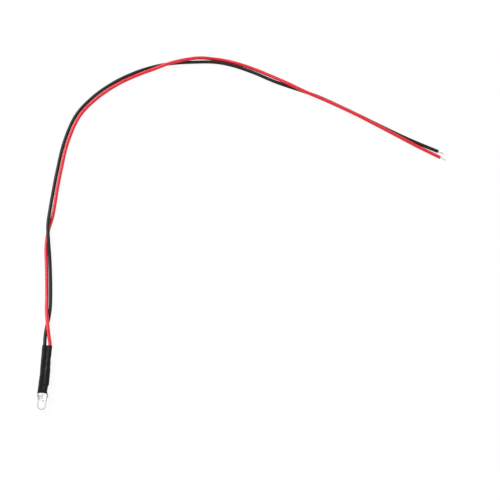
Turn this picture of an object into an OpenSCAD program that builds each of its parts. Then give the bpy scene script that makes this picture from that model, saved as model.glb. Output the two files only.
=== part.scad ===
// Round clear 3 mm through-hole LED with a series resistor, a black shrink sleeve and two insulated wires.
// It lies on a table: the dome points along -Y, the wires leave along +Y, and the table top is z = 0.

/* [Lens] */
// Diameter of the moulded body below the dome
body_d = 3.0; // [2.8:0.1:3.2]
// Diameter of the flange at the foot of the lens
flange_d = 3.8; // [3.6:0.1:4.2]
// Thickness of the flange
flange_t = 1.0; // [0.8:0.1:1.2]
// Height of the lens, from the flange's underside to the tip of the dome
lens_h = 5.3; // [4.6:0.1:5.8]
// Depth of the flat on the flange, which marks the cathode
flat_depth = 0.25; // [0.15:0.05:0.35]
// Radius that breaks the flange's edges
flange_edge_r = 0.12; // [0.05:0.01:0.2]

/* [Lead frame] */
// Side of the square leads
lead_t = 0.45; // [0.4:0.05:0.55]
// Distance between the two leads where they leave the lens
lead_pitch = 2.54; // [2.3:0.02:2.6]
// Resin between the lead frame and the side of the body
resin_skin = 0.35; // [0.3:0.05:0.45]
// Height of the anvil under the reflector cup
anvil_h = 2.0; // [1.8:0.1:2.3]
// Thickness of the shelf that joins each lead to its anvil or post
shelf_t = 0.4; // [0.3:0.05:0.45]
// Depth of the shelf's top below the flange's top
shelf_drop = 0.1; // [0.05:0.01:0.15]
// Outer diameter of the reflector cup
cup_d = 1.0; // [0.9:0.05:1.1]
// Height of the reflector cup
cup_h = 0.45; // [0.4:0.05:0.5]
// Wall of the reflector cup at its rim
cup_rim = 0.08; // [0.06:0.01:0.1]
// Depth of the reflector cup's recess
cup_depth = 0.25; // [0.2:0.01:0.3]
// Diameter of the flat floor inside the reflector cup
cup_floor_d = 0.5; // [0.45:0.01:0.55]
// Gap between the cup and the anode post
post_gap = 0.15; // [0.12:0.01:0.2]

/* [Chip] */
// Side of the square light-emitting chip
chip_w = 0.26; // [0.22:0.01:0.3]
// Thickness of the chip
chip_t = 0.12; // [0.1:0.01:0.15]
// Diameter of the gold bond wire
bond_d = 0.04; // [0.03:0.01:0.05]

/* [Wires] */
// Outer diameter of each insulated wire
wire_d = 1.2; // [0.95:0.05:1.25]
// Diameter of the stranded conductor
core_d = 0.5; // [0.35:0.05:0.6]
// Length of tinned conductor at each free end
bare_len = 2.2; // [1.5:0.1:4]
// Length of conductor between each joint and its insulation
strip_len = 1.6; // [1.2:0.1:2.2]

/* [Resistor] */
// Diameter of the coated resistor
res_d = 1.5; // [1.4:0.1:1.8]
// Length of the coated resistor
res_len = 4.6; // [3.4:0.1:5.2]
// Thickness of the lacquer over the end caps
coat_t = 0.1; // [0.06:0.01:0.14]
// Thickness of the pressed end caps
cap_t = 0.12; // [0.08:0.01:0.16]
// Depth of the end caps over the rod
cap_len = 0.7; // [0.5:0.1:0.9]
// Diameter of the resistor's leads
res_lead_d = 0.42; // [0.36:0.02:0.46]
// Length of each resistor lead
res_lead_len = 1.0; // [0.8:0.1:1.3]

/* [Joints] */
// Length over which the anode lead closes up behind the lens
anode_bend = 1.0; // [0.8:0.1:1.1]
// Length over which the cathode lead closes up behind the lens
cathode_bend = 7.0; // [2:0.5:7.5]
// Distance of the cathode branch from the middle of the sleeve
cathode_x = 0.85; // [0.85:0.05:1]
// Distance of the anode branch from the middle of the sleeve
anode_x = 0.75; // [0.6:0.05:0.8]
// Length of the anode lead outside the lens
anode_len = 2.4; // [2.4:0.1:3.2]
// Length of the cathode lead outside the lens
cathode_len = 8.8; // [8.5:0.1:10]
// Largest diameter of a solder joint
joint_d = 0.86; // [0.8:0.02:0.95]
// Length of a solder joint
joint_len = 1.4; // [1.1:0.1:1.4]

/* [Sleeves] */
// Length of the black outer sleeve
sleeve_len = 16.6; // [15.5:0.1:20]
// Wall of the outer sleeve after shrinking
sleeve_wall = 0.15; // [0.12:0.01:0.22]
// Height of the web between the sleeve's two lobes
web_h = 0.9; // [0.9:0.05:1.3]
// Wall of the thin sleeve over the resistor
inner_wall = 0.1; // [0.08:0.01:0.14]
// How far the thin sleeve reaches over the lead and over the red insulation
inner_lap = 0.5; // [0.3:0.1:0.5]
// Gap between the lens and the front of the outer sleeve
lens_gap = 0.1; // [0.05:0.01:0.2]
// Distance between the two wires where they leave the sleeve
exit_pitch = 1.8; // [1.6:0.05:1.9]

/* [Hidden] */
$fn = 48;

// Play between pieces that are moulded or soldered onto each other, or under the thin sleeve
fit = 0.02;
// Play between the outer sleeve and what it holds
play = 0.06;
eps = 0.01;

// Height of the lens's axis above the table, with the flange resting on it
axis_z = flange_d / 2;
// The rigid part, dome to sleeve, is centred on the origin
exit_y = (lens_h + lens_gap + sleeve_len) / 2;
base_y = exit_y - sleeve_len - lens_gap;

// Lead frame inside the lens
dome_z = lens_h - body_d / 2;
frame_x = body_d / 2 - resin_skin;
shelf_z = flange_t - shelf_drop;
cup_floor_z = anvil_h + cup_h - cup_depth;
chip_top_z = cup_floor_z + chip_t;
post_x = cup_d / 2 + post_gap;
post_w = frame_x - post_x;
bond_r = (post_x + post_w / 2) / 2;
half_diag = lead_t / sqrt(2);

// Stations along the sleeve, as distances behind the lens
joint_a = anode_len;
res_front = anode_len + fit + res_lead_len;
res_rear = res_front + res_len;
joint_r = res_rear + res_lead_len + fit;
red_start = joint_r + strip_len;
joint_c = cathode_len + fit;
black_start = joint_c + strip_len;
inner_front = joint_a - joint_len / 2 - inner_lap;
inner_rear = red_start + inner_lap;
sleeve_rear = lens_gap + sleeve_len;

// Radii of the sleeves over what they hold
hug = play + sleeve_wall;
hug_inner = fit + inner_wall;
r_lead = half_diag + hug;
r_lead_inner = half_diag + hug_inner + hug;
r_joint_inner = joint_d / 2 + hug_inner + hug;
r_res = res_d / 2 + hug_inner + hug;
r_wire = wire_d / 2 + hug;
r_wire_inner = wire_d / 2 + hug_inner + hug;

// Routes of the free wires: x, y from the sleeve's end, and height in wire radii, where 1 is on the table
RED_ROUTE = [
    [0.2, 3.5, 3.3], [-0.8, 8.5, 3.3], [-1.5, 12.5, 2.4], [-1.9, 16.5, 1.2], [-2.3, 21, 1],
    [-3, 27.5, 1], [-3.9, 35.5, 1], [-3.7, 41.5, 1], [-2.7, 47, 1], [-2.25, 53, 1],
    [-1.95, 58, 1], [-1.2, 66, 1], [0.1, 75.5, 1], [3.2, 85.5, 1], [8.4, 92.6, 1],
    [15.4, 98.7, 1], [22.4, 102.9, 1], [28.5, 105.5, 1.8], [35.5, 108.2, 3.2], [44, 110.6, 2.4],
    [51, 110.9, 1], [58, 109.7, 1], [65.5, 107.3, 1], [72.5, 104.1, 2], [78.5, 101.1, 3.1],
    [84, 98.4, 3.1], [92.5, 94.8, 2.8], [103, 89.8, 2.9], [118.5, 81.7, 2.4], [124, 79, 1.5],
    [128.5, 76.9, 1], [132.7, 74.8, 1]];
BLACK_ROUTE = [
    [-1.1, 3.5, 2.3], [-1, 7, 1.2], [-0.6, 10.5, 1], [-0.5, 14.5, 1], [-0.95, 20.5, 1],
    [-1.6, 26.5, 1], [-2.3, 32, 1.6], [-3, 37, 3.1], [-3.8, 43, 3.2], [-3.8, 49, 1.7],
    [-3.4, 56, 1], [-2.65, 64.5, 1], [-1.2, 75.5, 1], [2, 86, 1], [7.5, 93.6, 1],
    [14.5, 99.7, 1], [22.3, 104.3, 1], [29.5, 107.1, 1], [36, 108.6, 1], [44, 109.4, 1],
    [51, 109.6, 1], [57.5, 108.5, 1], [65, 106, 1], [72, 103, 1], [77.5, 101, 1],
    [82.5, 99.4, 1], [89.5, 96.9, 1], [96.5, 93.7, 1], [103.5, 90.3, 1], [111.5, 86.3, 1],
    [121.5, 81.5, 1], [132, 77.1, 1]];
// Sides and rings of each wire's tube
WIRE_SIDES = 8;
WIRE_RINGS = 40;
// Points round each ring of the outer sleeve, and rings along it
SLEEVE_SIDES = 36;
SLEEVE_RINGS = 30;

// From the lens's own frame, dome up, to the table's
module place() translate([0, base_y, axis_z]) rotate([90, 0, 0]) children();

// A round bar between two distances behind the lens
module bar(x, from, to, d) translate([x, 0, -to]) cylinder(d = d, h = to - from);

// A block from its lowest to its highest corner, grown on all sides
module block(lo, hi, g = 0) translate(lo - [g, g, g]) cube(hi - lo + 2 * [g, g, g]);

// A square lead that closes up from x0 to x1 over a bend behind the lens, and then runs straight
module leg(x0, x1, bend, len) {
    hull() {
        translate([x0, 0, 0]) cube([lead_t, lead_t, eps], center = true);
        translate([x1, 0, -bend]) cube([lead_t, lead_t, eps], center = true);
    }
    translate([x1 - lead_t / 2, -lead_t / 2, -len]) cube([lead_t, lead_t, len - bend]);
}

// The cathode's part of the lead frame inside the lens
module cathode_frame(g = 0) {
    t = lead_t / 2;
    outer = lead_pitch / 2 + t;
    block([-outer, -t, 0], [-outer + lead_t, t, shelf_z], g);
    block([-outer, -t, shelf_z - shelf_t], [cup_d / 2 - cup_rim, t, shelf_z], g);
    block([-frame_x, -t, shelf_z - shelf_t], [cup_d / 2 - cup_rim, t, anvil_h], g);
    difference() {
        translate([0, 0, anvil_h - eps]) cylinder(d = cup_d + 2 * g, h = cup_h + eps + g);
        translate([0, 0, cup_floor_z])
            cylinder(d1 = cup_floor_d - 2 * g, d2 = cup_d - 2 * cup_rim - 2 * g, h = cup_depth + g + eps);
    }
}

// The anode's part of the lead frame inside the lens
module anode_frame(g = 0) {
    t = lead_t / 2;
    outer = lead_pitch / 2 + t;
    block([outer - lead_t, -t, 0], [outer, t, shelf_z], g);
    block([post_x, -t, shelf_z - shelf_t], [outer, t, shelf_z], g);
    block([post_x, -t, shelf_z - shelf_t], [frame_x, t, chip_top_z], g);
}

module chip_block(g = 0) {
    w = chip_w / 2;
    block([-w, -w, cup_floor_z], [w, w, chip_top_z], g);
}

// The arch of the bond wire, from the chip to the post
module bond_arch(g = 0) {
    translate([bond_r, 0, chip_top_z]) rotate([90, 0, 0])
        rotate_extrude(angle = 180) translate([bond_r, 0]) circle(d = bond_d + 2 * g, $fn = 16);
}

module lens() {
    color([0.93, 0.96, 0.97, 0.4]) place() difference() {
        union() {
            rotate_extrude() hull() {
                square([flange_edge_r, flange_t]);
                translate([flange_d / 2 - flange_edge_r, flange_edge_r]) circle(flange_edge_r);
                translate([flange_d / 2 - flange_edge_r, flange_t - flange_edge_r]) circle(flange_edge_r);
            }
            cylinder(d = body_d, h = dome_z);
            translate([0, 0, dome_z]) sphere(d = body_d);
        }
        translate([-flange_d, -flange_d / 2, -eps])
            cube([flange_d / 2 + flat_depth, flange_d, flange_t + 2 * eps]);
        block([-lead_pitch / 2 - lead_t / 2, -lead_t / 2, -lead_t],
              [-lead_pitch / 2 + lead_t / 2, lead_t / 2, shelf_z / 2], fit);
        block([lead_pitch / 2 - lead_t / 2, -lead_t / 2, -lead_t],
              [lead_pitch / 2 + lead_t / 2, lead_t / 2, shelf_z / 2], fit);
        cathode_frame(fit);
        anode_frame(fit);
        chip_block(fit);
        bond_arch(fit);
    }
}

module cathode_lead() {
    color("gainsboro") place() {
        cathode_frame();
        leg(-lead_pitch / 2, -cathode_x, cathode_bend, cathode_len);
    }
}

module anode_lead() {
    color("gainsboro") place() {
        anode_frame();
        leg(lead_pitch / 2, anode_x, anode_bend, anode_len);
    }
}

module led_chip() color("khaki") place() chip_block();

module bond_wire() color("gold") place() bond_arch();

module resistor_rod() {
    color("white") place()
        bar(anode_x, res_front + coat_t + cap_t + fit, res_rear - coat_t - cap_t - fit,
            res_d - 2 * (coat_t + cap_t + fit));
}

// One pressed cap, its closed end at a distance behind the lens; side is 1 at the front and -1 at the rear
module end_cap(at, side) {
    cap_d = res_d - 2 * coat_t;
    translate([anode_x, 0, -at]) mirror([0, 0, side > 0 ? 1 : 0]) difference() {
        cylinder(d = cap_d, h = cap_len);
        translate([0, 0, cap_t]) cylinder(d = cap_d - 2 * cap_t, h = cap_len);
    }
}

module resistor_caps() {
    color("silver") place() {
        end_cap(res_front + coat_t, 1);
        end_cap(res_rear - coat_t, -1);
    }
}

// Each resistor lead butts against its cap
module resistor_lead_front() {
    color("gainsboro") place() bar(anode_x, res_front - res_lead_len, res_front + coat_t, res_lead_d);
}

module resistor_lead_rear() {
    color("gainsboro") place() bar(anode_x, res_rear - coat_t, res_rear + res_lead_len, res_lead_d);
}

module resistor_coating() {
    inner_d = res_d - 2 * coat_t + 2 * fit;
    color("lightskyblue") place() difference() {
        translate([anode_x, 0, -res_rear]) rotate_extrude() hull() {
            square([coat_t, res_len]);
            translate([res_d / 2 - 2 * coat_t, 2 * coat_t]) circle(2 * coat_t);
            translate([res_d / 2 - 2 * coat_t, res_len - 2 * coat_t]) circle(2 * coat_t);
        }
        bar(anode_x, res_front + coat_t - fit, res_rear - coat_t + fit, inner_d);
        bar(anode_x, res_front - fit, res_rear + fit, res_lead_d + 2 * fit);
    }
}

// A spindle of solder round two butting ends
module bead(x, at) {
    end_r = half_diag + 2 * fit;
    half = joint_len / 2;
    translate([x, 0, -at]) rotate_extrude() polygon([
        [0, -half], [end_r, -half], [joint_d / 2, -half / 2],
        [joint_d / 2, half / 2], [end_r, half], [0, half]]);
}

module solder_anode() {
    w = lead_t / 2 + fit;
    color("silver") place() difference() {
        bead(anode_x, joint_a);
        translate([anode_x - w, -w, -joint_a]) cube([2 * w, 2 * w, joint_len]);
        bar(anode_x, joint_a - fit, joint_a + joint_len, res_lead_d + 2 * fit);
    }
}

module solder_red() {
    color("silver") place() difference() {
        bead(anode_x, joint_r);
        bar(anode_x, joint_r - joint_len, joint_r, res_lead_d + 2 * fit);
        bar(anode_x, joint_r - fit, joint_r + joint_len, core_d + 2 * fit);
    }
}

module solder_black() {
    w = lead_t / 2 + fit;
    color("silver") place() difference() {
        bead(-cathode_x, joint_c);
        translate([-cathode_x - w, -w, -joint_c]) cube([2 * w, 2 * w, joint_len]);
        bar(-cathode_x, joint_c - fit, joint_c + joint_len, core_d + 2 * fit);
    }
}

module red_stripped_end() color("goldenrod") place() bar(anode_x, joint_r, red_start, core_d);

module black_stripped_end() color("goldenrod") place() bar(-cathode_x, joint_c, black_start, core_d);

// Bore radius of the thin sleeve against the distance behind the lens
INNER_BORE = [
    [inner_front, half_diag + fit],
    [joint_a - joint_len / 2, half_diag + 3 * fit],
    [joint_a - joint_len / 4, joint_d / 2 + fit],
    [joint_a + joint_len / 4, joint_d / 2 + fit],
    [joint_a + joint_len / 2, joint_d / 2 + fit],
    [res_front, res_d / 2 + fit],
    [res_rear, res_d / 2 + fit],
    [joint_r - joint_len / 2, joint_d / 2 + fit],
    [joint_r + joint_len / 4, joint_d / 2 + fit],
    [red_start, wire_d / 2 + fit],
    [inner_rear, wire_d / 2 + fit]];

module inner_sleeve() {
    last = len(INNER_BORE) - 1;
    color([0.12, 0.12, 0.13]) place() translate([anode_x, 0, 0]) rotate_extrude() polygon([
        for (p = INNER_BORE) [p[1], -p[0]],
        for (i = [last:-1:0]) [INNER_BORE[i][1] + inner_wall, -INNER_BORE[i][0]]]);
}

// Centre and radius of the outer sleeve's two lobes against the distance behind the lens
LEFT_X = [[0, -lead_pitch / 2], [cathode_bend, -cathode_x], [black_start + inner_lap, -cathode_x],
          [sleeve_rear, -exit_pitch / 2]];
LEFT_R = [[0, r_lead], [black_start, r_wire]];
RIGHT_X = [[0, lead_pitch / 2], [anode_bend, anode_x], [inner_rear, anode_x],
           [sleeve_rear, exit_pitch / 2]];
RIGHT_R = [[0, r_lead], [inner_front - inner_lap, r_lead], [inner_front, r_lead_inner],
           [joint_a - joint_len / 4, r_joint_inner], [joint_a + joint_len / 4, r_joint_inner],
           [joint_a + joint_len / 2, r_res], [joint_r - joint_len / 2, r_res], [joint_r, r_wire_inner],
           [inner_rear, r_wire_inner], [inner_rear + inner_lap, r_wire]];

function lobe(x, c, r) = abs(x - c) < r ? sqrt(r * r - (x - c) * (x - c)) : 0;
function merge(a, b, c) = pow(pow(a, 4) + pow(b, 4) + pow(c, 4), 1 / 4);

// Outline of the outer sleeve at a distance behind the lens, moved in by inset
function sleeve_ring(s, inset) =
    let (xl = lookup(s, LEFT_X), rl = lookup(s, LEFT_R) - inset,
         xr = lookup(s, RIGHT_X), rr = lookup(s, RIGHT_R) - inset,
         mid = (xl - rl + xr + rr) / 2, half = (xr + rr - xl + rl) / 2)
    [for (i = [0:SLEEVE_SIDES - 1])
        let (a = 360 * i / SLEEVE_SIDES, x = mid + half * cos(a),
             web = (web_h / 2 - inset) * abs(sin(a)),
             h = merge(lobe(x, xl, rl), lobe(x, xr, rr), web))
        [x, sin(a) >= 0 ? h : -h, -s]];

// Quads between rings of n points, first to last, whose points start at first
function walls(rings, n, first, flip) = [
    for (k = [0:rings - 2], i = [0:n - 1])
        let (j = (i + 1) % n, a = first + k * n, b = a + n)
        flip ? [a + i, a + j, b + j, b + i] : [a + i, b + i, b + j, a + j]];

module outer_sleeve() {
    n = SLEEVE_SIDES;
    m = SLEEVE_RINGS;
    step = sleeve_len / (m - 1);
    inner = m * n;
    color([0.12, 0.12, 0.13]) place() polyhedron(
        points = [
            for (k = [0:m - 1]) each sleeve_ring(lens_gap + k * step, 0),
            for (k = [0:m - 1]) each sleeve_ring(lens_gap + k * step, sleeve_wall)],
        faces = concat(
            walls(m, n, 0, true), walls(m, n, inner, false),
            [for (i = [0:n - 1]) let (j = (i + 1) % n) [i, inner + i, inner + j, j]],
            [for (i = [0:n - 1]) let (j = (i + 1) % n, a = (m - 1) * n, b = inner + a)
                [a + i, a + j, b + j, b + i]]));
}

// Points of a wire in the table's frame: two in the sleeve, one at the sleeve's end, and then its route
function wire_points(x, side, start, route) = concat(
    [[x, base_y + start, axis_z], [x, base_y + start + inner_lap, axis_z],
     [side * exit_pitch / 2, exit_y, axis_z]],
    [for (p = route) [p[0], exit_y + p[1], p[2] * wire_d / 2]]);

RED_POINTS = wire_points(anode_x, 1, red_start, RED_ROUTE);
BLACK_POINTS = wire_points(-cathode_x, -1, black_start, BLACK_ROUTE);

// A smooth curve through the points, at u from 0 to the last point's number
function clamp_index(p, i) = p[max(0, min(len(p) - 1, i))];
function curve(p, u) =
    let (i = min(floor(u), len(p) - 2), t = u - i,
         a = clamp_index(p, i - 1), b = p[i], c = p[i + 1], d = clamp_index(p, i + 2),
         q = 0.5 * (2 * b + (c - a) * t + (2 * a - 5 * b + 4 * c - d) * t * t
                    + (3 * b - a - 3 * c + d) * t * t * t))
    [q[0], q[1], max(q[2], wire_d / 2)];

// Middles of a wire's rings, straight inside the sleeve and on the curve outside it, and the heading at each
function middles(p) = concat([p[0], p[1]],
    [for (k = [0:WIRE_RINGS - 3]) curve(p, 2 + k * (len(p) - 3) / (WIRE_RINGS - 3))]);
function unit(v) = v / norm(v);
function heading(m, k) = k == 0 ? [0, 1, 0] : unit(m[min(k + 1, len(m) - 1)] - m[k - 1]);

function wire_ring(m, k) =
    let (t = heading(m, k), side = unit(cross(t, [0, 0, 1])), up = cross(side, t))
    [for (i = [0:WIRE_SIDES - 1]) let (a = 360 * i / WIRE_SIDES)
        m[k] + wire_d / 2 * (cos(a) * side + sin(a) * up)];

module wire_tube(p) {
    m = middles(p);
    n = WIRE_SIDES;
    last = (WIRE_RINGS - 1) * n;
    polyhedron(
        points = [for (k = [0:WIRE_RINGS - 1]) each wire_ring(m, k)],
        faces = concat(
            walls(WIRE_RINGS, n, 0, true),
            [[for (i = [n - 1:-1:0]) i]], [[for (i = [0:n - 1]) last + i]]));
}

// The tinned end of a conductor, straight on from the end of its insulation
module tinned_end(p) {
    m = middles(p);
    t = heading(m, WIRE_RINGS - 1);
    translate(m[WIRE_RINGS - 1]) rotate([0, 90, atan2(t[1], t[0])]) cylinder(d = core_d, h = bare_len);
}

module red_wire() color([0.85, 0.05, 0.08]) wire_tube(RED_POINTS);

module black_wire() color([0.1, 0.1, 0.1]) wire_tube(BLACK_POINTS);

module red_tinned_end() color("lightgray") tinned_end(RED_POINTS);

module black_tinned_end() color("lightgray") tinned_end(BLACK_POINTS);

lens();
cathode_lead();
anode_lead();
led_chip();
bond_wire();
resistor_rod();
resistor_caps();
resistor_lead_front();
resistor_lead_rear();
resistor_coating();
solder_anode();
solder_red();
solder_black();
inner_sleeve();
outer_sleeve();
red_stripped_end();
black_stripped_end();
red_wire();
black_wire();
red_tinned_end();
black_tinned_end();
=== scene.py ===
"""Looks of a clear round LED with a shrink sleeve and two wires on a white table, in metres."""
import math
import random

import bpy
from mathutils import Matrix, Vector, noise


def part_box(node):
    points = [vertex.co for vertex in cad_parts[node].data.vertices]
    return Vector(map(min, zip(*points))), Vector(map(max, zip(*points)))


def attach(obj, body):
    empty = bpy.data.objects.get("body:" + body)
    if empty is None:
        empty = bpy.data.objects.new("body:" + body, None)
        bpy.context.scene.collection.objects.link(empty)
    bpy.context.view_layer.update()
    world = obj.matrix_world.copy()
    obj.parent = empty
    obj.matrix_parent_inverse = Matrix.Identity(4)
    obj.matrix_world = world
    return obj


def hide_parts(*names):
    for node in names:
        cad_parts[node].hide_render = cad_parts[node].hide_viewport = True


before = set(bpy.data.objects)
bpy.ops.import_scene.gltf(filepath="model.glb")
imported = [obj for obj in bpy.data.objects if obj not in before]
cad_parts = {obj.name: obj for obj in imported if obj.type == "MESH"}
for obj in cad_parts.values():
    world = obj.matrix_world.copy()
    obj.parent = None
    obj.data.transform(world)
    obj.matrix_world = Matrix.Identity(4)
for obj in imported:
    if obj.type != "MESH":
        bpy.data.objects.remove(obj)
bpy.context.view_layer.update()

MM = 0.001
BODY = "root"


# Places and sizes, from the frame

def low(node):
    return Vector(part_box(node)[0])


def high(node):
    return Vector(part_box(node)[1])


def middle(node):
    return (low(node) + high(node)) / 2


def width(node):
    return high(node).x - low(node).x


# Sizes that the frame's boxes don't give
BODY_R = 1.5 * MM
FLANGE_T = 1.0 * MM
LEAD_HALF = 0.225 * MM
HALF_DIAGONAL = 0.318 * MM
ANODE_BEND = 1.0 * MM
CATHODE_BEND = 7.0 * MM
WIRE_R = 0.6 * MM
EXIT_X = 0.9 * MM
INNER_LAP = 0.5 * MM
SLEEVE_WALL = 0.15 * MM
SLEEVE_PLAY = 0.06 * MM
THIN_SLEEVE = 0.12 * MM
WEB_H = 0.9 * MM
BARE_LEN = 2.2 * MM

FLANGE_R = high("lens").x
FLAT_X = low("lens").x
AXIS_Z = FLANGE_R
LENS_TIP_Y = low("lens").y
BASE_Y = high("lens").y
LEAD_X = high("anode_lead").x - LEAD_HALF
CATHODE_X = middle("black_stripped_end").x
ANODE_X = middle("resistor_coating").x
SLEEVE_FRONT = low("outer_sleeve").y
EXIT_Y = high("outer_sleeve").y
RED_START = high("red_stripped_end").y
BLACK_START = high("black_stripped_end").y
RESISTOR_R = width("resistor_coating") / 2
JOINT_R = width("solder_red") / 2
CORE_R = width("red_stripped_end") / 2

# Routes of the free wires: x, then y from the sleeve's end, in mm, then height in wire radii
RED_ROUTE = [
    (0.2, 3.5, 3.3), (-0.8, 8.5, 3.3), (-1.5, 12.5, 2.4), (-1.9, 16.5, 1.2), (-2.3, 21, 1),
    (-3, 27.5, 1), (-3.9, 35.5, 1), (-3.7, 41.5, 1), (-2.7, 47, 1), (-2.25, 53, 1),
    (-1.95, 58, 1), (-1.2, 66, 1), (0.1, 75.5, 1), (3.2, 85.5, 1), (8.4, 92.6, 1),
    (15.4, 98.7, 1), (22.4, 102.9, 1), (28.5, 105.5, 1.8), (35.5, 108.2, 3.2), (44, 110.6, 2.4),
    (51, 110.9, 1), (58, 109.7, 1), (65.5, 107.3, 1), (72.5, 104.1, 2), (78.5, 101.1, 3.1),
    (84, 98.4, 3.1), (92.5, 94.8, 2.8), (103, 89.8, 2.9), (118.5, 81.7, 2.4), (124, 79, 1.5),
    (128.5, 76.9, 1), (132.7, 74.8, 1)]
BLACK_ROUTE = [
    (-1.1, 3.5, 2.3), (-1, 7, 1.2), (-0.6, 10.5, 1), (-0.5, 14.5, 1), (-0.95, 20.5, 1),
    (-1.6, 26.5, 1), (-2.3, 32, 1.6), (-3, 37, 3.1), (-3.8, 43, 3.2), (-3.8, 49, 1.7),
    (-3.4, 56, 1), (-2.65, 64.5, 1), (-1.2, 75.5, 1), (2, 86, 1), (7.5, 93.6, 1),
    (14.5, 99.7, 1), (22.3, 104.3, 1), (29.5, 107.1, 1), (36, 108.6, 1), (44, 109.4, 1),
    (51, 109.6, 1), (57.5, 108.5, 1), (65, 106, 1), (72, 103, 1), (77.5, 101, 1),
    (82.5, 99.4, 1), (89.5, 96.9, 1), (96.5, 93.7, 1), (103.5, 90.3, 1), (111.5, 86.3, 1),
    (121.5, 81.5, 1), (132, 77.1, 1)]


# Materials

# The parts of a noise's range over which colour and roughness change
COLOUR_BAND = (0.35, 0.65)
ROUGH_BAND = (0.3, 0.7)


class Shader:
    """A Principled material with the helpers that its procedural detail needs."""

    def __init__(self, name, **constants):
        self.material = bpy.data.materials.new(name)
        self.material.use_nodes = True
        self.nodes = self.material.node_tree.nodes
        self.links = self.material.node_tree.links
        self.surface = self.nodes["Principled BSDF"]
        self.place = self.nodes.new("ShaderNodeTexCoord").outputs["Object"]
        for key, value in constants.items():
            self.surface.inputs[key.replace("_", " ")].default_value = value

    def noise(self, size, detail=3, stretch=(1, 1, 1)):
        """Noise whose blobs are about size metres wide, stretched along each axis."""
        mapping = self.nodes.new("ShaderNodeMapping")
        mapping.inputs["Scale"].default_value = [1 / (size * s) for s in stretch]
        texture = self.nodes.new("ShaderNodeTexNoise")
        texture.inputs["Scale"].default_value = 1
        texture.inputs["Detail"].default_value = detail
        self.links.new(self.place, mapping.inputs["Vector"])
        self.links.new(mapping.outputs["Vector"], texture.inputs["Vector"])
        return texture.outputs["Fac"]

    def spread(self, value, source, target):
        """Value mapped from the source range to the target range, each (lowest, highest)."""
        node = self.nodes.new("ShaderNodeMapRange")
        for key, number in zip(("From Min", "From Max", "To Min", "To Max"), (*source, *target)):
            node.inputs[key].default_value = number
        self.links.new(value, node.inputs["Value"])
        return node.outputs["Result"]

    def ramp(self, value, stops, steps=False):
        """Colours along value, each stop (position, colour), blended or in plain steps."""
        node = self.nodes.new("ShaderNodeValToRGB")
        node.color_ramp.interpolation = "CONSTANT" if steps else "LINEAR"
        elements = node.color_ramp.elements
        while len(elements) < len(stops):
            elements.new(0.5)
        for element, (position, colour) in zip(elements, stops):
            element.position = position
            element.color = (*colour, 1)
        self.links.new(value, node.inputs["Fac"])
        return node.outputs["Color"]

    def colour(self, value, first, second, band=COLOUR_BAND):
        mix = self.ramp(value, [(band[0], first), (band[1], second)])
        self.links.new(mix, self.surface.inputs["Base Color"])

    def rough(self, value, smooth, coarse):
        roughness = self.spread(value, ROUGH_BAND, (smooth, coarse))
        self.links.new(roughness, self.surface.inputs["Roughness"])

    def bump(self, *layers):
        """Each layer is (height, depth in metres), one on another."""
        normal = None
        for height, depth in layers:
            node = self.nodes.new("ShaderNodeBump")
            node.inputs["Distance"].default_value = depth
            self.links.new(height, node.inputs["Height"])
            if normal:
                self.links.new(normal, node.inputs["Normal"])
            normal = node.outputs["Normal"]
        self.links.new(normal, self.surface.inputs["Normal"])


def clear_resin():
    """Water-clear epoxy with painted shade: greyer where the eye looks along its surface, standing
    in for dark surroundings refracted at its rim.
    """
    s = Shader("clear_resin", Transmission_Weight=1.0, IOR=1.5)
    painted_rim_shade = s.nodes.new("ShaderNodeLayerWeight").outputs["Facing"]
    # painted shade: the base colour turns grey towards the rim, in place of dark refraction and
    # reflection
    s.colour(painted_rim_shade, (1, 1, 1), (0.3, 0.3, 0.31), band=(0.12, 0.6))
    s.rough(s.noise(1.2 * MM), 0.0, 0.03)
    s.bump((s.noise(0.9 * MM, detail=1), 0.004 * MM))
    return s.material


def metal(name, dark, light, smooth, coarse, grain=0.25 * MM, depth=0.004 * MM):
    s = Shader(name, Metallic=1.0)
    patches = s.noise(grain, detail=4)
    s.colour(patches, dark, light)
    s.rough(s.noise(grain / 2), smooth, coarse)
    s.bump((patches, depth))
    return s.material


def chip_material():
    s = Shader("chip", Specular_IOR_Level=0.6)
    s.colour(s.noise(0.06 * MM), (0.55, 0.5, 0.15), (0.8, 0.76, 0.4))
    s.rough(s.noise(0.05 * MM), 0.25, 0.45)
    s.bump((s.noise(0.03 * MM), 0.001 * MM))
    return s.material


def ceramic():
    s = Shader("ceramic")
    s.colour(s.noise(0.2 * MM), (0.72, 0.7, 0.64), (0.85, 0.83, 0.78))
    s.rough(s.noise(0.1 * MM), 0.6, 0.8)
    s.bump((s.noise(0.08 * MM), 0.004 * MM))
    return s.material


def banded_lacquer():
    """Pale blue lacquer with five plain bands across it."""
    base = (0.3, 0.52, 0.62)
    band_width = 0.07
    bands = [(0.2, (0.45, 0.03, 0.02)), (0.35, (0.2, 0.02, 0.25)), (0.5, (0.01, 0.01, 0.01)),
             (0.65, (0.01, 0.01, 0.01)), (0.82, (0.22, 0.09, 0.03))]
    stops = [(0.0, base)]
    for start, colour in bands:
        stops += [(start, colour), (start + band_width, base)]
    s = Shader("lacquer", Coat_Weight=0.4, Coat_Roughness=0.1)
    split = s.nodes.new("ShaderNodeSeparateXYZ")
    s.links.new(s.place, split.inputs["Vector"])
    ends = (low("resistor_coating").y, high("resistor_coating").y)
    along = s.spread(split.outputs["Y"], ends, (0, 1))
    s.links.new(s.ramp(along, stops, steps=True), s.surface.inputs["Base Color"])
    s.rough(s.noise(0.3 * MM), 0.25, 0.4)
    s.bump((s.noise(0.3 * MM), 0.01 * MM))
    return s.material


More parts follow.
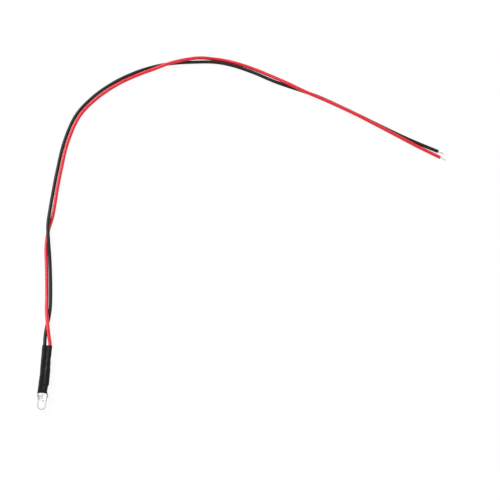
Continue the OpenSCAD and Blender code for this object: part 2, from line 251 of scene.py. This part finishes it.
def sleeve_film(name, wrinkle):
    """Shrunk black film: satin, with faint lengthwise wrinkles and a fine grain."""
    s = Shader(name, Specular_IOR_Level=0.15)
    s.colour(s.noise(1.5 * MM), (0.003, 0.0035, 0.0035), (0.007, 0.008, 0.008))
    s.rough(s.noise(0.4 * MM, detail=5), 0.24, 0.36)
    folds = s.noise(0.5 * MM, stretch=(1, 4, 1))
    grain = s.noise(0.05 * MM, detail=2)
    s.bump((folds, wrinkle), (grain, 0.002 * MM))
    return s.material


def insulation(name, dark, light, sheen):
    """Extruded soft plastic: a little uneven in gloss, with faint marks."""
    s = Shader(name, Specular_IOR_Level=sheen, Subsurface_Weight=0.04, Subsurface_Scale=0.2 * MM)
    s.colour(s.noise(4 * MM), dark, light)
    s.rough(s.noise(0.6 * MM, detail=5), 0.3, 0.44)
    ripple = s.noise(1.6 * MM, detail=2)
    marks = s.noise(0.12 * MM)
    s.bump((ripple, 0.012 * MM), (marks, 0.002 * MM))
    return s.material


RESIN = clear_resin()
TINNED_STEEL = metal("tinned_steel", (0.62, 0.62, 0.6), (0.8, 0.8, 0.78), 0.18, 0.34)
GOLD = metal("gold", (0.85, 0.6, 0.2), (0.95, 0.74, 0.34), 0.15, 0.25, depth=0.001 * MM)
CAP_METAL = metal("cap_metal", (0.55, 0.55, 0.54), (0.72, 0.72, 0.7), 0.25, 0.4)
TINNED_COPPER = metal("tinned_copper", (0.62, 0.6, 0.56), (0.86, 0.85, 0.82), 0.2, 0.38,
                      grain=0.15 * MM)
SOLDER = metal("solder", (0.6, 0.6, 0.61), (0.78, 0.78, 0.79), 0.15, 0.32, depth=0.01 * MM)
SHRINK = sleeve_film("shrink_sleeve", 0.03 * MM)
THIN_FILM = sleeve_film("thin_sleeve", 0.015 * MM)
RED_PVC = insulation("red_insulation", (0.8, 0.005, 0.02), (0.88, 0.01, 0.03), 0.55)
BLACK_PVC = insulation("black_insulation", (0.006, 0.007, 0.007), (0.011, 0.012, 0.012), 0.25)

CAD_FINISH = {
    "cathode_lead": TINNED_STEEL, "anode_lead": TINNED_STEEL, "led_chip": chip_material(),
    "bond_wire": GOLD, "resistor_rod": ceramic(), "resistor_caps": CAP_METAL,
    "resistor_lead_front": TINNED_COPPER, "resistor_lead_rear": TINNED_COPPER,
    "resistor_coating": banded_lacquer(), "solder_anode": SOLDER, "solder_red": SOLDER,
    "solder_black": SOLDER, "inner_sleeve": THIN_FILM, "red_stripped_end": TINNED_COPPER,
    "black_stripped_end": TINNED_COPPER}


# Mesh helpers

def mesh_object(name, points, faces, material):
    mesh = bpy.data.meshes.new(name)
    mesh.from_pydata([tuple(p) for p in points], [], faces)
    mesh.update()
    mesh.polygons.foreach_set("use_smooth", [True] * len(mesh.polygons))
    mesh.materials.append(material)
    thing = bpy.data.objects.new(name, mesh)
    bpy.context.scene.collection.objects.link(thing)
    return thing


def ring_angles(sides):
    return [2 * math.pi * i / sides for i in range(sides)]


def ring_walls(rings, sides, first=0, flip=False):
    """Faces between rings of points that follow one another from the point first on."""
    faces = []
    for k in range(rings - 1):
        for i in range(sides):
            j = (i + 1) % sides
            a = first + k * sides
            quad = (a + i, a + j, a + j + sides, a + i + sides)
            faces.append(quad[::-1] if flip else quad)
    return faces


# Lens

LENS_SIDES = 96
DOME_STEPS = 24
EDGE_STEPS = 6
FLANGE_EDGE = 0.12 * MM
BODY_FOOT = 0.06 * MM


def arc(centre_r, centre_d, radius, start, end, steps):
    """Points (radius, distance) on an arc from the angle start to end, in degrees."""
    angles = [math.radians(start + (end - start) * i / steps) for i in range(steps + 1)]
    return [(centre_r + radius * math.cos(a), centre_d + radius * math.sin(a)) for a in angles]


def lens_profile():
    """Radius and distance from the flange's back: its two edges, the body's foot and the dome."""
    edge_r = FLANGE_R - FLANGE_EDGE
    dome = BASE_Y - LENS_TIP_Y - BODY_R
    points = arc(edge_r, FLANGE_EDGE, FLANGE_EDGE, -90, 0, EDGE_STEPS)
    points += arc(edge_r, FLANGE_T - FLANGE_EDGE, FLANGE_EDGE, 0, 90, EDGE_STEPS)
    points += arc(BODY_R + BODY_FOOT, FLANGE_T + BODY_FOOT, BODY_FOOT, -90, -180, EDGE_STEPS)
    points.append((BODY_R, (FLANGE_T + dome) / 2))
    points += arc(0, dome, BODY_R, 0, 90, DOME_STEPS)
    return points


def make_lens():
    profile = lens_profile()[:-1]     # the dome's tip is a single point
    points = []
    for radius, distance in profile:
        for a in ring_angles(LENS_SIDES):
            x = radius * math.cos(a)
            if distance <= FLANGE_T:
                x = max(x, FLAT_X)
            points.append((x, BASE_Y - distance, AXIS_Z + radius * math.sin(a)))
    faces = ring_walls(len(profile), LENS_SIDES)
    back, tip = len(points), len(points) + 1
    points += [(0, BASE_Y, AXIS_Z), (0, LENS_TIP_Y, AXIS_Z)]
    last = (len(profile) - 1) * LENS_SIDES
    for i in range(LENS_SIDES):
        j = (i + 1) % LENS_SIDES
        faces.append((back, j, i))
        faces.append((tip, last + i, last + j))
    lens = mesh_object("clear_lens", points, faces, RESIN)
    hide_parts("lens")
    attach(lens, BODY)


# Outer sleeve

SLEEVE_SIDES = 72
SLEEVE_RINGS = 110
MERGE = 4                             # exponent that joins the lobes; higher is sharper
EASE = 0.3 * MM                       # reach of the rounding at a station
DENTS = [(0.9 * MM, 0.02), (2.6 * MM, 0.03)]     # size, and depth as a share of the radius
CUT_DEPTH = 0.06 * MM                 # how uneven the cut ends are
CUT_WAVE = 0.8 * MM                   # size of that unevenness across the end
CUT_FADE = 8                          # it fades out over an eighth of the length
BEVEL_WIDTH = 0.03 * MM
BEVEL_ANGLE = math.radians(50)

GRIP = SLEEVE_PLAY + SLEEVE_WALL
R_LEAD = HALF_DIAGONAL + GRIP
R_WIRE = WIRE_R + GRIP
R_WIRE_INNER = R_WIRE + THIN_SLEEVE
R_JOINT_INNER = JOINT_R + THIN_SLEEVE + GRIP
R_RESISTOR = RESISTOR_R + THIN_SLEEVE + GRIP
INNER_FRONT = low("inner_sleeve").y
JOINT_A = middle("solder_anode").y
JOINT_LEN = high("solder_anode").y - low("solder_anode").y

# Stations (y, value) of the middle and the radius of each lobe
LEFT_X = [(BASE_Y, -LEAD_X), (BASE_Y + CATHODE_BEND, CATHODE_X),
          (BLACK_START + INNER_LAP, CATHODE_X), (EXIT_Y, -EXIT_X)]
LEFT_R = [(BASE_Y, R_LEAD), (BLACK_START, R_WIRE)]
RIGHT_X = [(BASE_Y, LEAD_X), (BASE_Y + ANODE_BEND, ANODE_X), (RED_START + INNER_LAP, ANODE_X),
           (EXIT_Y, EXIT_X)]
RIGHT_R = [(INNER_FRONT - INNER_LAP, R_LEAD), (INNER_FRONT, R_LEAD + THIN_SLEEVE),
           (JOINT_A - JOINT_LEN / 4, R_JOINT_INNER), (JOINT_A + JOINT_LEN / 4, R_JOINT_INNER),
           (JOINT_A + JOINT_LEN / 2, R_RESISTOR), (low("solder_red").y, R_RESISTOR),
           (middle("solder_red").y, R_WIRE_INNER), (RED_START + INNER_LAP, R_WIRE_INNER),
           (RED_START + 2 * INNER_LAP, R_WIRE)]


def between(stations, y):
    """Value at y on straight lines between the stations."""
    if y <= stations[0][0]:
        return stations[0][1]
    for (y0, v0), (y1, v1) in zip(stations, stations[1:]):
        if y <= y1:
            return v0 + (v1 - v0) * (y - y0) / (y1 - y0)
    return stations[-1][1]


def eased(stations, y):
    """The same with its corners rounded: the mean of five places."""
    return sum(between(stations, y + EASE * k / 2) for k in range(-2, 3)) / 5


def lobe(x, centre, radius):
    """Half the height of a round lobe at x, and 0 beside it."""
    d = radius * radius - (x - centre) ** 2
    return math.sqrt(d) if d > 0 else 0.0


def sleeve_outline(y, inset):
    """Points round the sleeve at y, moved in by inset."""
    left, left_r = eased(LEFT_X, y), eased(LEFT_R, y) - inset
    right, right_r = eased(RIGHT_X, y), eased(RIGHT_R, y) - inset
    start, end = left - left_r, right + right_r
    points = []
    for a in ring_angles(SLEEVE_SIDES):
        x = (start + end) / 2 + (end - start) / 2 * math.cos(a)
        web = (WEB_H / 2 - inset) * abs(math.sin(a))
        heights = (lobe(x, left, left_r), lobe(x, right, right_r), web)
        h = sum(height ** MERGE for height in heights) ** (1 / MERGE)
        points.append(Vector((x, y, AXIS_Z + (h if math.sin(a) >= 0 else -h))))
    return points


def dented(p):
    """The point p moved a little towards or away from the sleeve's axis."""
    centre = Vector((0, p.y, AXIS_Z))
    dents = sum(noise.noise(p / size) * depth for size, depth in DENTS)
    return centre + (p - centre) * (1 + dents)


def make_sleeve():
    points = []
    for inset in (0.0, SLEEVE_WALL):
        for k in range(SLEEVE_RINGS):
            t = k / (SLEEVE_RINGS - 1)
            y = SLEEVE_FRONT + (EXIT_Y - SLEEVE_FRONT) * t
            at_ends = max(0, 1 - CUT_FADE * t) + max(0, CUT_FADE * t - (CUT_FADE - 1))
            for p in sleeve_outline(y, inset):
                if not inset:
                    p = dented(p)
                cut = CUT_DEPTH * noise.noise(Vector((p.x, 0, p.z)) / CUT_WAVE)
                p.y += cut * at_ends
                points.append(p)
    inner = SLEEVE_RINGS * SLEEVE_SIDES
    last = (SLEEVE_RINGS - 1) * SLEEVE_SIDES
    faces = ring_walls(SLEEVE_RINGS, SLEEVE_SIDES, flip=True)
    faces += ring_walls(SLEEVE_RINGS, SLEEVE_SIDES, first=inner)
    for i in range(SLEEVE_SIDES):
        j = (i + 1) % SLEEVE_SIDES
        faces.append((i, j, inner + j, inner + i))
        faces.append((inner + last + i, inner + last + j, last + j, last + i))
    sleeve = mesh_object("shrink_sleeve", points, faces, SHRINK)
    bevel = sleeve.modifiers.new("cut_edges", "BEVEL")
    bevel.width = BEVEL_WIDTH
    bevel.segments = 2
    bevel.limit_method = "ANGLE"
    bevel.angle_limit = BEVEL_ANGLE
    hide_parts("outer_sleeve")
    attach(sleeve, BODY)


# Wires

UP = Vector((0, 0, 1))
PATH_STEPS = 16                       # between two points of the route
WIRE_SIDES = 24
CUT_ROUNDING = 0.06 * MM

OUTER_STRANDS = 6                     # round one in the middle
STRAND_SIDES = 10
STRAND_STEPS = 14
STRAND_SWELL = 1.06                   # times its radius, so that it touches its neighbours
STRAND_TIP = 0.6                      # times its radius, at its tip
STRAND_LAY = 9 * MM                   # length of one turn of the twist
STRAND_HIDDEN = 0.4 * MM              # inside the insulation
STRAND_SHORT = 0.25 * MM              # most by which one ends early
STRAND_FLARE = 0.4                    # most by which one's tip spreads, as a share


def route_points(x, side, start, route):
    """The wire's points: two in the sleeve, one at the sleeve's end, and then its route."""
    points = [Vector((x, start, AXIS_Z)), Vector((x, start + INNER_LAP, AXIS_Z)),
              Vector((side * EXIT_X, EXIT_Y, AXIS_Z))]
    return points + [Vector((px * MM, EXIT_Y + py * MM, level * WIRE_R)) for px, py, level in route]


def smooth_path(points):
    """A smooth curve through the points, straight inside the sleeve."""
    path = [points[0], points[1]]
    for i in range(2, len(points) - 1):
        a, b, c, d = points[i - 1], points[i], points[i + 1], points[min(i + 2, len(points) - 1)]
        for k in range(PATH_STEPS):
            t = k / PATH_STEPS
            p = 0.5 * (2 * b + (c - a) * t + (2 * a - 5 * b + 4 * c - d) * t ** 2
                       + (3 * b - a - 3 * c + d) * t ** 3)
            p.z = max(p.z, WIRE_R)
            path.append(p)
    return path + [points[-1]]


def headings(path):
    last = len(path) - 1
    return [(path[min(k + 1, last)] - path[max(k - 1, 0)]).normalized() for k in range(last + 1)]


def across(heading):
    """Two directions square to the heading, the first of them level."""
    side = heading.cross(UP).normalized()
    return side, side.cross(heading)


def tube_mesh(path, radii, sides, points, faces):
    """Adds a closed tube along path to points and faces."""
    first = len(points)
    for p, heading, r in zip(path, headings(path), radii):
        side, rise = across(heading)
        for a in ring_angles(sides):
            points.append(p + r * (math.cos(a) * side + math.sin(a) * rise))
    last = first + (len(path) - 1) * sides
    faces += ring_walls(len(path), sides, first, flip=True)
    faces.append(tuple(first + i for i in range(sides)))
    faces.append(tuple(last + i for i in reversed(range(sides))))


def make_wire(name, node, path, material):
    """The insulation, cut square at its far end with a slightly rounded edge."""
    points, faces = [], []
    end, heading = path[-1], headings(path)[-1]
    body = path[:-1] + [end - heading * CUT_ROUNDING]
    radii = [WIRE_R] * len(body)
    for turn in (30, 60, 90):
        a = math.radians(turn)
        body.append(end - heading * CUT_ROUNDING * (1 - math.sin(a)))
        radii.append(WIRE_R - CUT_ROUNDING * (1 - math.cos(a)))
    tube_mesh(body, radii, WIRE_SIDES, points, faces)
    wire = mesh_object(name, points, faces, material)
    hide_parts(node)
    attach(wire, BODY)
    return wire


def make_strands(name, node, path, seed):
    """Seven tinned strands, twisted together, a little spread and uneven at their tips."""
    chance = random.Random(seed)
    end, heading = path[-1], headings(path)[-1]
    side, rise = across(heading)
    strand_r = CORE_R / 3
    radii = [strand_r * STRAND_SWELL] * STRAND_STEPS + [strand_r * STRAND_TIP]
    points, faces = [], []
    for i in range(OUTER_STRANDS + 1):
        from_middle = 0 if i == OUTER_STRANDS else 2 * strand_r
        phase = 2 * math.pi * i / OUTER_STRANDS
        reach = BARE_LEN - chance.uniform(0, STRAND_SHORT)
        flare = chance.uniform(0, STRAND_FLARE)
        line = []
        for k in range(STRAND_STEPS + 1):
            s = -STRAND_HIDDEN + (reach + STRAND_HIDDEN) * k / STRAND_STEPS
            a = phase + 2 * math.pi * s / STRAND_LAY
            out = from_middle * (1 + flare * max(0.0, s / BARE_LEN) ** 2)
            line.append(end + heading * s + out * (math.cos(a) * side + math.sin(a) * rise))
        tube_mesh(line, radii, STRAND_SIDES, points, faces)
    strands = mesh_object(name, points, faces, TINNED_COPPER)
    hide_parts(node)
    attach(strands, BODY)
    return strands


# Camera, floor and light

PHOTO_PX = 500
FOCAL_PX = 1300
SENSOR = 36.0
CAMERA_DISTANCE = 450 * MM
ELEVATION = math.radians(70)
TURN = math.radians(2.26)
TARGET = Vector((66.6, 48.5, 0.0)) * MM

TABLE_HALF = 3.0
TABLE_WHITE = (0.9, 0.9, 0.9, 1)
TABLE_ROUGHNESS = 0.9
TABLE_GLOW = 1.03
GLOW_SHARE = 0.9                      # the rest is lit by the lamps, so it takes the shadow
ROOM_LIGHT = 0.42
LAMPS = [("key", (-0.42, 0.42, 0.45), 0.65, 5.4),      # name, place, size, power
         ("fill", (0.5, -0.3, 0.7), 0.6, 1.0)]


def make_camera():
    data = bpy.data.cameras.new("camera")
    data.sensor_width = SENSOR
    data.lens = SENSOR * FOCAL_PX / PHOTO_PX
    data.clip_start = 0.01
    data.clip_end = 20
    camera = bpy.data.objects.new("camera", data)
    bpy.context.scene.collection.objects.link(camera)
    aim = Vector((-math.sin(TURN) * math.cos(ELEVATION), math.cos(TURN) * math.cos(ELEVATION),
                  -math.sin(ELEVATION)))
    camera.location = TARGET - aim * CAMERA_DISTANCE
    camera.rotation_euler = aim.to_track_quat("-Z", "Y").to_euler()
    bpy.context.scene.camera = camera


def seen_directly(nodes, links):
    """1 for rays from the camera, a mirror or a clear piece, and 0 for light on a dull surface."""
    rays = nodes.new("ShaderNodeLightPath")
    total = rays.outputs["Is Camera Ray"]
    for name in ("Is Glossy Ray", "Is Transmission Ray"):
        add = nodes.new("ShaderNodeMath")
        add.operation = "MAXIMUM"
        links.new(total, add.inputs[0])
        links.new(rays.outputs[name], add.inputs[1])
        total = add.outputs[0]
    return total


def make_floor():
    """White table: part of its brightness is its own, for the eye alone."""
    mesh = bpy.data.meshes.new("table")
    corners = [(-TABLE_HALF, -TABLE_HALF, 0), (TABLE_HALF, -TABLE_HALF, 0),
               (TABLE_HALF, TABLE_HALF, 0), (-TABLE_HALF, TABLE_HALF, 0)]
    mesh.from_pydata(corners, [], [(0, 1, 2, 3)])
    floor = bpy.data.objects.new("table", mesh)
    bpy.context.scene.collection.objects.link(floor)
    material = bpy.data.materials.new("table_white")
    material.use_nodes = True
    nodes, links = material.node_tree.nodes, material.node_tree.links
    surface = nodes["Principled BSDF"]
    surface.inputs["Base Color"].default_value = TABLE_WHITE
    surface.inputs["Roughness"].default_value = TABLE_ROUGHNESS
    surface.inputs["Specular IOR Level"].default_value = 0.0
    glow = nodes.new("ShaderNodeEmission")
    glow.inputs["Strength"].default_value = TABLE_GLOW
    share = nodes.new("ShaderNodeMath")
    share.operation = "MULTIPLY"
    share.inputs[1].default_value = GLOW_SHARE
    links.new(seen_directly(nodes, links), share.inputs[0])
    mix = nodes.new("ShaderNodeMixShader")
    links.new(share.outputs[0], mix.inputs["Fac"])
    links.new(surface.outputs["BSDF"], mix.inputs[1])
    links.new(glow.outputs["Emission"], mix.inputs[2])
    links.new(mix.outputs["Shader"], nodes["Material Output"].inputs["Surface"])
    mesh.materials.append(material)


def make_world():
    """White to the eye, and softer as light on the object."""
    world = bpy.data.worlds.new("studio")
    world.use_nodes = True
    nodes, links = world.node_tree.nodes, world.node_tree.links
    background = nodes["Background"]
    background.inputs["Color"].default_value = (1, 1, 1, 1)
    strength = nodes.new("ShaderNodeMapRange")
    strength.inputs["To Min"].default_value = ROOM_LIGHT
    strength.inputs["To Max"].default_value = 1.0
    links.new(seen_directly(nodes, links), strength.inputs["Value"])
    links.new(strength.outputs["Result"], background.inputs["Strength"])
    bpy.context.scene.world = world


def make_lamp(name, place, size, power):
    data = bpy.data.lights.new(name, "AREA")
    data.size = size
    data.energy = power
    lamp = bpy.data.objects.new(name, data)
    lamp.location = place
    lamp.rotation_euler = (TARGET - Vector(place)).to_track_quat("-Z", "Y").to_euler()
    bpy.context.scene.collection.objects.link(lamp)


# Scene

make_camera()

red_path = smooth_path(route_points(ANODE_X, 1, RED_START, RED_ROUTE))
black_path = smooth_path(route_points(CATHODE_X, -1, BLACK_START, BLACK_ROUTE))
red_wire = make_wire("red_wire_insulation", "red_wire", red_path, RED_PVC)
black_wire = make_wire("black_wire_insulation", "black_wire", black_path, BLACK_PVC)
red_end = make_strands("red_wire_strands", "red_tinned_end", red_path, seed=3)
black_end = make_strands("black_wire_strands", "black_tinned_end", black_path, seed=8)

make_lens()
make_sleeve()
for node, material in CAD_FINISH.items():
    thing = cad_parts[node]
    thing.data.materials.clear()
    thing.data.materials.append(material)

make_floor()
make_world()
for lamp in LAMPS:
    make_lamp(*lamp)
bpy.context.scene.view_settings.view_transform = "Standard"
